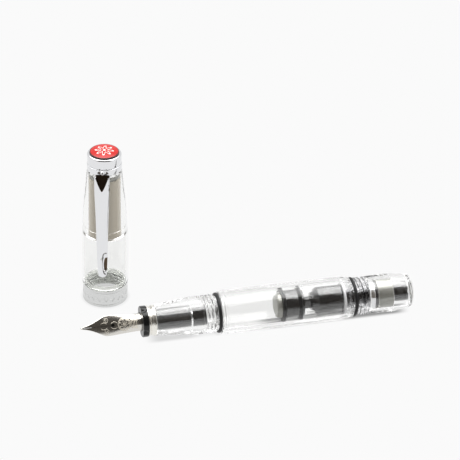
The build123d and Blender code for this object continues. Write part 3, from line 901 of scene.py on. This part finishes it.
def make_connector():
    start, end, _ = along_pen("rear_connector")
    barrel_end = along_pen("barrel")[1]
    thread_start, thread_end = start + 3.8, start + 7.8
    bore_r = 2.8
    fine = rows(start + 0.3, barrel_end - 0.2, 5.38, 0.05)
    walls = rows(thread_start, thread_end, THREAD_ROOT_R, POST_THREAD_PITCH / 14)
    front_shape = thread(start + 0.3, barrel_end - 0.2, 0.5, 0.12, 0.4, 0.1)
    rear_shape = thread(thread_start + 0.1, thread_end - 0.05, POST_THREAD_PITCH, THREAD_DEPTH, 1.0, 0.35)

    def shape(along, radius, angle):
        if radius < 5.3:
            return radius
        return front_shape(along, radius, angle) if along < barrel_end else rear_shape(along, radius, angle)

    neck = [(barrel_end, 5.38), (barrel_end, 5.25), (thread_start - 0.05, 5.25)]
    outline = [(start, 5.3)] + fine + neck + walls
    outline += rounded([
        (thread_end + 0.02, THREAD_ROOT_R), (thread_end + 0.02, 3.7), (end, 3.7), (end, bore_r),
        (start + 1.6, bore_r), (start + 1.6, 3.95), (start, 3.95),
    ], 0.06, closed=False)
    piece = turned("clear_rear_connector", outline, PEN_PLACE, GREY_CLEAR, "pen", radius_at=shape)
    shade_flanks(piece, thread_start, thread_end, THREAD_ROOT_R, THREAD_DEPTH)
    stands_for(piece, "rear_connector")


def make_wrench_collar():
    """Bright collar with two flats for a wrench."""
    start, end, radius = along_pen("wrench_collar")
    low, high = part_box("wrench_collar")
    flat = (high.y - low.y) / 2 / MM

    def flats(along, here, angle):
        side = abs(sin(angle))
        if here < 4.0 or side * here <= flat:
            return here
        return flat / side

    outline = rounded([(start, 3.75), (start, radius), (end, radius), (end, 3.75)], 0.1)
    piece = turned("wrench_collar_bright", outline, PEN_PLACE, CHROME, "pen", radius_at=flats)
    stands_for(piece, "wrench_collar")


def make_spindle():
    """Dark tube with a slotted drive head at the rear."""
    start, end, head_r = along_pen("spindle")
    drive_start = along_pen("knob_sleeve")[1] + FIT
    slot_depth, slot_half, slots = 1.9, 0.45, 6
    bore_r, tube_r, drive_r = 2.05, 2.7, 3.2
    head_end = start + 2.8

    outline = rounded([
        (start, 1.5), (start, head_r - 0.3), (head_end, head_r - 0.3), (head_end, tube_r),
        (drive_start, tube_r), (drive_start, drive_r), (end, drive_r), (end, bore_r), (head_end, bore_r),
        (head_end, 1.5),
    ], 0.08)
    piece = turned("spindle_tube", outline, PEN_PLACE, BLACK, "knob", segments=96)
    stands_for(piece, "spindle")
    cutters = []
    for i in range(slots):
        angle = 2 * pi * i / slots
        cutter = slot_cutter(end, slot_depth, slot_half, drive_r, angle)
        cutters.append(cutter)
        cut = piece.modifiers.new("slot", "BOOLEAN")
        cut.operation = "DIFFERENCE"
        cut.object = cutter
        cut.solver = "EXACT"
    applied(piece)
    for cutter in cutters:
        bpy.data.objects.remove(cutter)
    piece.data.polygons.foreach_set("use_smooth", [True] * len(piece.data.polygons))
    piece.data.set_sharp_from_angle(angle=radians(35))


def slot_cutter(end, depth, half, radius, angle):
    """U-shaped block that cuts one slot into the rear of the drive head."""
    steps = 10
    side = [(end + 0.5, half), (end - depth + half, half)]
    side += [
        (end - depth + half - half * sin(pi * k / steps), half * cos(pi * k / steps)) for k in range(1, steps)
    ]
    side += [(end - depth + half, -half), (end + 0.5, -half)]
    turn = Matrix.Rotation(angle, 4, "X")
    vertices = []
    for height in (radius - 1.0, radius + 0.6):
        vertices += [PEN_PLACE @ (turn @ Vector((x, y, height))) for x, y in side]
    count = len(side)
    faces = [tuple(range(count)), tuple(range(2 * count - 1, count - 1, -1))]
    faces += [(i, i + count, (i + 1) % count + count, (i + 1) % count) for i in range(count)]
    mesh = bpy.data.meshes.new("slot_cutter")
    mesh.from_pydata(vertices, [], faces)
    work = bmesh.new()
    work.from_mesh(mesh)
    bmesh.ops.recalc_face_normals(work, faces=work.faces)
    work.to_mesh(mesh)
    work.free()
    cutter = bpy.data.objects.new("slot_cutter", mesh)
    bpy.context.scene.collection.objects.link(cutter)
    return cutter


def make_knob():
    start, end, radius = along_pen("knob")
    spindle_end = along_pen("spindle")[1]
    bore_r = 3.25
    shoulder, sleeve_end, sleeve_r = along_pen("knob_sleeve")
    skirt_r = 5.1
    outer = curve([
        (start + 0.12, radius - 0.12), (start + 0.5, radius), (start + 8, radius), (end - 3.5, 5.75),
        (end - 0.9, 5.42), (end - 0.35, 5.2), (end - 0.08, 4.9),
    ], 60)
    inner = rounded([
        (end, 4.6), (end, 0.0), (spindle_end + 0.2, 0.0), (spindle_end + 0.2, bore_r),
        (sleeve_end + FIT, bore_r), (sleeve_end + FIT, sleeve_r + FIT), (shoulder + FIT, sleeve_r + FIT),
        (shoulder + FIT, skirt_r), (start, skirt_r), (start, radius - 0.25),
    ], 0.1, closed=False)
    loop = outer + inner
    first_pole = next(i for i, p in enumerate(loop) if p[1] < 1e-6)
    ordered = loop[first_pole + 1:] + loop[:first_pole + 1]
    piece = turned("clear_knob", ordered, PEN_PLACE, CLEAR, "knob", closed=False)
    stands_for(piece, "knob")


# Cap pieces

def make_band():
    """Satin band with a ring of small cut lozenges where the real one carries lettering."""
    bottom, top, radius = up_cap("cap_band")
    lozenges = 22
    middle = (bottom + top) / 2 + 0.2

    def ornament(along, here, angle):
        if here < radius - 0.2:
            return here
        spot = abs((angle / (2 * pi) * lozenges) % 1.0 - 0.5) * 2 * pi * radius / lozenges
        reach = 1.25 * (1 - spot / 0.85) if spot < 0.85 else 0.0
        inside = blend_step(reach - abs(along - middle), 0.0, 0.2)
        rim = line(along, bottom + 0.95, 0.12) + line(along, top - 0.75, 0.12)
        return here - 0.12 * inside - 0.05 * min(1.0, rim)

    outline = [(bottom, radius - 0.15)] + rows(bottom + 0.12, top - 0.06, radius, 0.07)
    inside_points = [(top, radius - 0.08), (top, 6.75), (1.35, 6.75), (1.35, 6.6), (bottom, 6.6)]
    outline += rounded(inside_points, 0.06, closed=False)
    piece = turned("cap_lip_band", outline, CAP_PLACE, BAND, "cap", radius_at=ornament, segments=528)
    stands_for(piece, "cap_band")


def make_insert():
    bottom, top, radius = up_cap("cap_thread_insert")
    band_top = up_cap("cap_band")[1]
    crest_r = THREAD_ROOT_R + 0.05
    root_r = 6.25
    shape = thread(bottom + 0.2, top - 1.3, CAP_THREAD_PITCH, crest_r - root_r, 0.9, 0.25)

    def inner_thread(along, here, angle):
        return shape(along, here, angle) if abs(here - root_r) < 1e-6 else here

    outline = rows(bottom + 0.15, top - 1.25, root_r, CAP_THREAD_PITCH / 14)
    outline += rounded([
        (top - 1.2, crest_r), (top - 0.1, crest_r), (top, crest_r + 0.1), (top, 6.45),
        (band_top, 6.45), (band_top, radius), (bottom, radius), (bottom, root_r),
    ], 0.05, closed=False)
    piece = turned("cap_thread_ring", outline, CAP_PLACE, INSERT, "cap", radius_at=inner_thread)
    stands_for(piece, "cap_thread_insert")


def make_cap_body():
    bottom, top, _ = up_cap("cap_body")
    chamber_r, chamber_top = 6.5, 24.9
    liner_r = 5.1 + FIT
    liner_top = up_cap("cap_liner")[1] + FIT
    outer = curve([
        (bottom + 0.12, 7.38), (bottom + 0.6, 7.43), (17, 7.48), (22, 7.41), (26.4, 7.24), (30.2, 6.99),
        (36, 6.63), (41.7, 6.1), (top - 0.2, 5.5),
    ], 90)
    inner = rounded([
        (top, 5.42), (top, 1.6), (liner_top, 1.6), (liner_top, liner_r), (27.0, liner_r), (27.0, 5.3),
        (chamber_top, 5.3), (chamber_top, chamber_r), (bottom, chamber_r), (bottom, 7.3),
    ], 0.12, 4, closed=False)
    piece = turned("clear_cap_tube", outer + inner, CAP_PLACE, SOFT_CLEAR, "cap")
    stands_for(piece, "cap_body")


def make_liner():
    bottom, top, radius = up_cap("cap_liner")
    plug = top - 1.5
    outline = rounded([
        (bottom, 5.03), (bottom, radius), (bottom + 2.0, radius), (bottom + 2.05, 5.1), (plug, 5.1),
        (plug, 4.2), (top, 4.2), (top, 1.55), (plug, 1.55), (plug - 0.3, 3.4), (plug - 1.6, 4.6),
        (bottom + 1.55, 4.6), (bottom + 1.55, 5.03),
    ], 0.06)
    piece = turned("inner_cap", outline, CAP_PLACE, LINER, "cap_core")
    stands_for(piece, "cap_liner")


def make_crown():
    bottom, top, radius = up_cap("crown")
    ring_top = up_cap("clip_ring")[1] + FIT
    seat_r = 4.65
    outline = rounded([
        (bottom, 0.0), (bottom, 1.5), (ring_top, 1.5), (ring_top, radius - 0.1), (ring_top + 0.12, radius),
        (top - 0.35, radius), (top - 0.05, radius - 0.3), (top, radius - 0.5), (top, seat_r),
        (top - 1.0, seat_r), (top - 1.0, 0.0),
    ], 0.08, closed=False)
    piece = turned("crown_bright", outline, CAP_PLACE, CHROME, "cap", closed=False)
    stands_for(piece, "crown")


def make_jewel():
    """Low red dome with a dark rim and a pale rosette of eight petals under its gloss."""
    bottom, top, radius = up_cap("jewel")
    edge = top - 0.45
    sphere_r = (radius**2 + (top - edge) ** 2) / (2 * (top - edge))
    steps = 48
    dome = []
    for i in range(steps + 1):
        r = radius * (1 - i / steps)
        dome.append((top - sphere_r + sqrt(sphere_r**2 - r * r), r))
    dome[-1] = (top, 0.0)
    outline = [(bottom, 0.0), (bottom, radius - 0.05), (bottom + 0.05, radius)] + dome
    piece = turned("red_jewel", outline, CAP_PLACE, RED, "cap", segments=192, closed=False)
    into_local = CAP_PLACE.inverted()
    values = []
    for vertex in piece.data.vertices:
        spot = into_local @ vertex.co
        distance = sqrt(spot.y**2 + spot.z**2)
        angle = atan2(spot.y, spot.z)
        petals = 2.0 + 0.8 * cos(8 * angle)
        value = max(line(distance, petals, 0.35), 1 - blend_step(distance, 0.3, 0.6))
        values.append(value - blend_step(distance, radius - 0.3, radius - 0.1))
    write_attribute(piece, "pattern", values)
    stands_for(piece, "jewel")


def make_inlay():
    bottom, top, radius = up_cap("jewel_inlay")
    outline = rounded([(bottom, 0.0), (bottom, radius), (top, radius), (top, 0.0)], 0.05, closed=False)
    stands_for(turned("jewel_plate", outline, CAP_PLACE, INLAY, "cap", closed=False), "jewel_inlay")


def make_clip():
    """Sprung clip: a tapering bar whose top bends in to the ring around a three-cornered facet, and
    whose end is scooped on one side and carries a ball underneath. Points are (distance from
    the cap's axis, sideways, height)."""
    low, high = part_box("clip")
    bottom = low.z / MM - FLOOR_Z
    top = high.z / MM - FLOOR_Z - 1.2
    ring_r = up_cap("clip_ring")[2]
    tip_r = 8.9
    shoulder_r = 8.3
    facet_foot, facet_slope, facet_wall = 44.3, 0.5, 0.04
    scoop_top, scoop_deep, scoop_foot = bottom + 9.6, bottom + 5.0, bottom + 0.9
    scoop_depth = 1.0
    steps = 170
    outer, inner = 12, 14
    stations = [bottom + (top - bottom) * i / steps for i in range(steps + 1)]
    half_widths = [
        (bottom, 0.3), (bottom + 0.25, 0.85), (bottom + 0.8, 1.32), (bottom + 1.6, 1.42), (36.0, 2.1),
        (46.0, 2.42), (top - 0.15, 2.42), (top, 2.3),
    ]
    fronts = [
        (bottom, tip_r - 0.35), (bottom + 0.8, tip_r - 0.05), (bottom + 3, tip_r), (36.0, shoulder_r + 0.1),
        (45.5, shoulder_r), (top - 0.15, shoulder_r - 0.1), (top, shoulder_r - 0.25),
    ]
    backs = [(bottom, 8.1), (bottom + 3, 8.05), (36.0, 7.5), (44.0, 7.1), (46.5, 6.3), (top, ring_r + 0.12)]
    vertices = []
    faces = []
    grid = []
    # Mask of painted shade and painted dark reflection: 1 on the top facet, rising into the side scoop.
    painted_shade_reflection = []
    for height in stations:
        half = interpolate(half_widths, height)
        front_r = interpolate(fronts, height)
        back_r = interpolate(backs, height)
        rise = max(0.0, height - facet_foot)
        facet_half = max(0.1, 0.82 * half * (rise / (top - facet_foot)) ** 0.8)
        scoop = blend_step(-height, -scoop_top, -scoop_deep)
        scoop *= 1 - blend_step(-height, -scoop_deep, -scoop_foot)
        left = [-half + (half - facet_half) * i / outer for i in range(outer + 1)]
        middle = [(facet_half - facet_wall) * (2 * i / inner - 1) for i in range(inner + 1)]
        right = [-y for y in reversed(left)]
        across = left + middle + right
        row = []
        for y in across:
            side = y / half
            side_step = blend_step(side, 0.0, 0.7)
            r = front_r - 0.22 * abs(side) ** 3 - 0.28 * blend_step(abs(side), 0.86, 1.0)
            r -= scoop_depth * scoop * side_step
            if rise > 0 and abs(y) < facet_half - facet_wall / 2:
                r = min(r, shoulder_r - rise * facet_slope)
            in_facet = rise > 0 and abs(y) < facet_half + facet_wall / 2
            painted_shade_reflection.append(1.0 if in_facet else scoop * side_step)
            row.append(len(vertices))
            vertices.append((max(r, back_r + 0.1), y, height))
        for y in reversed(across):
            painted_shade_reflection.append(0.0)
            row.append(len(vertices))
            vertices.append((back_r + 0.08 * blend_step(abs(y) / half, 0.8, 1.0), y * 0.98, height))
        grid.append(row)
    around = len(grid[0])
    for first, second in zip(grid, grid[1:]):
        for j in range(around):
            k = (j + 1) % around
            faces.append((first[j], first[k], second[k], second[j]))
    faces.append(tuple(reversed(grid[0])))
    faces.append(tuple(grid[-1]))
    piece = piece_from("spring_clip", vertices, faces, CLIP_PLACE, CLIP_CHROME, "clip", sharp=28.0)
    write_attribute(piece, "painted_shade_reflection", painted_shade_reflection)
    stands_for(piece, "clip")
    clip_neck(ring_r + 0.02, top)
    clip_ball(bottom)


def clip_neck(start_r, top):
    """Narrow rounded neck that leaves the ring and slopes down into the top of the clip."""
    slope = radians(33.0)
    outline = rounded([(0.0, 0.0), (0.0, 0.7), (0.9, 0.6), (1.2, 0.4), (1.2, 0.0)], 0.25, 5, closed=False)
    place = CLIP_PLACE @ Matrix.Translation((start_r, 0, top + 1.0)) @ Matrix.Rotation(slope, 4, "Y")
    neck = turned("clip_neck", outline, place, CHROME, "clip", segments=48, closed=False)


def clip_ball(bottom):
    """Ball under the clip's end that presses on the cap."""
    radius = 0.55
    steps = 16
    outline = [(-radius * cos(pi * i / steps), radius * sin(pi * i / steps)) for i in range(steps + 1)]
    outline[0] = (-radius, 0.0)
    outline[-1] = (radius, 0.0)
    place = CLIP_PLACE @ Matrix.Translation((7.55 + radius, 0, bottom + 4.1))
    ball = turned("clip_contact_ball", outline, place, CHROME, "clip", segments=32, closed=False)


# Studio

class Arithmetic:
    """Builds arithmetic on shader values."""

    def __init__(self, nodes, links):
        self.nodes = nodes
        self.links = links

    def math(self, operation, first, second=0.0):
        node = self.nodes.new("ShaderNodeMath")
        node.operation = operation
        for socket, value in zip(node.inputs, (first, second)):
            if isinstance(value, (int, float)):
                socket.default_value = value
            else:
                self.links.new(value, socket)
        return node.outputs[0]

    def times(self, first, second):
        return self.math("MULTIPLY", first, second)

    def one_minus(self, value):
        return self.math("SUBTRACT", 1.0, value)

    def step(self, value, low, high):
        """Smooth 0 to 1 as value goes from low to high."""
        node = self.nodes.new("ShaderNodeMapRange")
        node.interpolation_type = "SMOOTHSTEP"
        node.inputs["From Min"].default_value = low
        node.inputs["From Max"].default_value = high
        self.links.new(value, node.inputs["Value"])
        return node.outputs["Result"]


def make_floor():
    """Evenly bright glowing white floor with painted shadow: ambient occlusion darkens it close under opaque
    pieces, and painted patches darken it under the pen.
    """
    mesh = bpy.data.meshes.new("floor")
    half = FLOOR_SIZE / 2 * MM
    z = FLOOR_Z * MM - 0.00002
    corners = [(-half, -half, z), (half, -half, z), (half, half, z), (-half, half, z)]
    mesh.from_pydata(corners, [], [(0, 1, 2, 3)])
    floor_object = bpy.data.objects.new("floor", mesh)
    bpy.context.scene.collection.objects.link(floor_object)
    material = bpy.data.materials.new("floor_paper")
    material.use_nodes = True
    nodes = material.node_tree.nodes
    links = material.node_tree.links
    nodes.clear()
    # Painted shadow close under opaque pieces, from ambient occlusion.
    nearness = nodes.new("ShaderNodeAmbientOcclusion")
    nearness.samples = 12
    nearness.inputs["Distance"].default_value = SHADOW_REACH * MM
    darkest = BACKDROP_WHITE * (1 - SHADOW_DEPTH)
    light = remap(nodes, links, nearness.outputs["AO"], darkest, BACKDROP_WHITE, 0.0, 1.0)
    work = Arithmetic(nodes, links)
    place = nodes.new("ShaderNodeTexCoord")
    split = nodes.new("ShaderNodeSeparateXYZ")
    links.new(place.outputs["Object"], split.inputs["Vector"])
    along, beside, _ = split.outputs
    far = work.step(work.math("ABSOLUTE", beside), PEN_SHADOW_NEAR * MM, PEN_SHADOW_FAR * MM)
    near = work.one_minus(far)
    for first, last, darkness in PEN_SHADOW:
        begins = work.step(along, (first - PEN_SHADOW_ENDS) * MM, (first + PEN_SHADOW_ENDS) * MM)
        ends = work.step(along, (last - PEN_SHADOW_ENDS) * MM, (last + PEN_SHADOW_ENDS) * MM)
        patch = work.times(work.math("SUBTRACT", begins, ends), near)
        light = work.times(light, work.one_minus(work.times(patch, darkness)))
    glow = nodes.new("ShaderNodeEmission")
    links.new(light, glow.inputs["Strength"])
    output = nodes.new("ShaderNodeOutputMaterial")
    links.new(glow.outputs["Emission"], output.inputs["Surface"])
    mesh.materials.append(material)


def make_world():
    """Pale walls, the overhead soft light and the dark room on the camera's side."""
    world = bpy.data.worlds.new("studio")
    bpy.context.scene.world = world
    world.use_nodes = True
    nodes = world.node_tree.nodes
    links = world.node_tree.links
    nodes.clear()
    work = Arithmetic(nodes, links)
    place = nodes.new("ShaderNodeTexCoord")
    turn = nodes.new("ShaderNodeVectorRotate")
    turn.rotation_type = "Z_AXIS"
    turn.inputs["Angle"].default_value = radians(-CAMERA_AZIMUTH)
    links.new(place.outputs["Generated"], turn.inputs["Vector"])
    split = nodes.new("ShaderNodeSeparateXYZ")
    links.new(turn.outputs["Vector"], split.inputs["Vector"])
    side, back, up = split.outputs

    height = work.math("MAXIMUM", up, 0.02)
    across = work.math("ABSOLUTE", work.math("DIVIDE", side, height))
    along = work.math("DIVIDE", back, height)
    softbox = work.one_minus(work.step(across, SOFTBOX_HALF_WIDTH - 0.1, SOFTBOX_HALF_WIDTH + 0.1))
    softbox = work.times(softbox, work.step(along, -SOFTBOX_FRONT - 0.06, -SOFTBOX_FRONT + 0.06))
    far_edge = work.step(along, SOFTBOX_BACK - SOFTBOX_BACK_FADE, SOFTBOX_BACK + SOFTBOX_BACK_FADE)
    softbox = work.times(softbox, work.one_minus(far_edge))
    softbox = work.times(softbox, work.math("GREATER_THAN", up, 0.0))

    forward = work.math("SQRT", work.math("ADD", work.times(side, side), work.times(back, back)))
    facing = work.math("DIVIDE", work.times(back, -1.0), work.math("MAXIMUM", forward, 0.001))
    edge = cos(radians(ROOM_HALF_ANGLE))
    room = work.step(facing, edge - 0.15, edge + 0.15)
    elevation = work.math("ARCTAN2", up, forward)
    room = work.times(room, work.one_minus(work.step(elevation, ROOM_TOP - 0.08, ROOM_TOP + 0.08)))

    path = nodes.new("ShaderNodeLightPath")
    through = work.times(path.outputs["Is Transmission Ray"], ROOM_THROUGH_CLEAR)
    room = work.times(room, work.one_minus(through))
    walls = work.math("SUBTRACT", WALL_LIGHT, work.times(room, WALL_LIGHT - ROOM_LIGHT))
    light = work.math("ADD", walls, work.times(softbox, SOFTBOX_LIGHT))
    seen = path.outputs["Is Camera Ray"]
    unseen = work.one_minus(seen)
    strength = work.math("ADD", work.times(light, unseen), work.times(seen, BACKDROP_WHITE))

    tint = mixed(nodes, links, room, (1.0, 1.0, 1.0), (1.0, 0.90, 0.78))
    background = nodes.new("ShaderNodeBackground")
    links.new(tint, background.inputs["Color"])
    links.new(strength, background.inputs["Strength"])
    output = nodes.new("ShaderNodeOutputWorld")
    links.new(background.outputs["Background"], output.inputs["Surface"])


def make_camera():
    azimuth = radians(CAMERA_AZIMUTH)
    elevation = radians(CAMERA_ELEVATION)
    look = Vector((-sin(azimuth) * cos(elevation), cos(azimuth) * cos(elevation), -sin(elevation)))
    target = Vector((CAMERA_TARGET[0], CAMERA_TARGET[1], FLOOR_Z)) * MM
    camera = bpy.data.objects.new("camera", bpy.data.cameras.new("camera"))
    bpy.context.scene.collection.objects.link(camera)
    camera.data.lens = CAMERA_LENS
    camera.data.clip_start = 0.01
    camera.data.clip_end = 20.0
    camera.location = target - look * CAMERA_DISTANCE * MM
    right = Vector((cos(azimuth), sin(azimuth), 0))
    up = right.cross(look)
    roll = radians(CAMERA_ROLL)
    x_axis = right * cos(roll) + up * sin(roll)
    y_axis = up * cos(roll) - right * sin(roll)
    rotation = Matrix((x_axis, y_axis, -look)).transposed()
    camera.rotation_mode = "QUATERNION"
    camera.rotation_quaternion = rotation.to_quaternion()
    bpy.context.scene.camera = camera


def set_colour():
    scene = bpy.context.scene
    scene.view_settings.view_transform = "Standard"
    scene.view_settings.look = "None"
    scene.cycles.max_bounces = 40
    scene.cycles.transmission_bounces = 40
    scene.cycles.glossy_bounces = 16
    scene.cycles.diffuse_bounces = 4


make_barrel()
make_orings()
make_section()
make_trim_ring()
make_housing()
make_nib()
make_feed()
make_sleeve("feed_tail_sleeve", "feed_sleeve", BLACK, "pen", 2.45)
make_piston()
make_guide()
make_sleeve("pale_guide_ring", "guide_ring", PALE, "pen", 3.95)
make_connector()
make_wrench_collar()
make_sleeve("thrust_ring", "thrust_washer", BLACK, "knob_carrier", 2.75)
make_sleeve("smoke_knob_sleeve", "knob_sleeve", SMOKE, "knob", 2.75)
make_spindle()
make_knob()
make_band()
make_insert()
make_cap_body()
make_liner()
make_sleeve("inner_cap_collar", "liner_collar", SMOKE, "cap_core", 4.25, CAP_PLACE, up_cap)
make_sleeve("clip_ring_bright", "clip_ring", CHROME, "cap", 1.6, CAP_PLACE, up_cap, 0.15)
make_crown()
make_inlay()
make_jewel()
make_clip()

rod_node = frame["nodes"]["piston_rod"]
rod_node.data.materials.clear()
rod_node.data.materials.append(BLACK)

make_floor()
make_world()
make_camera()
set_colour()
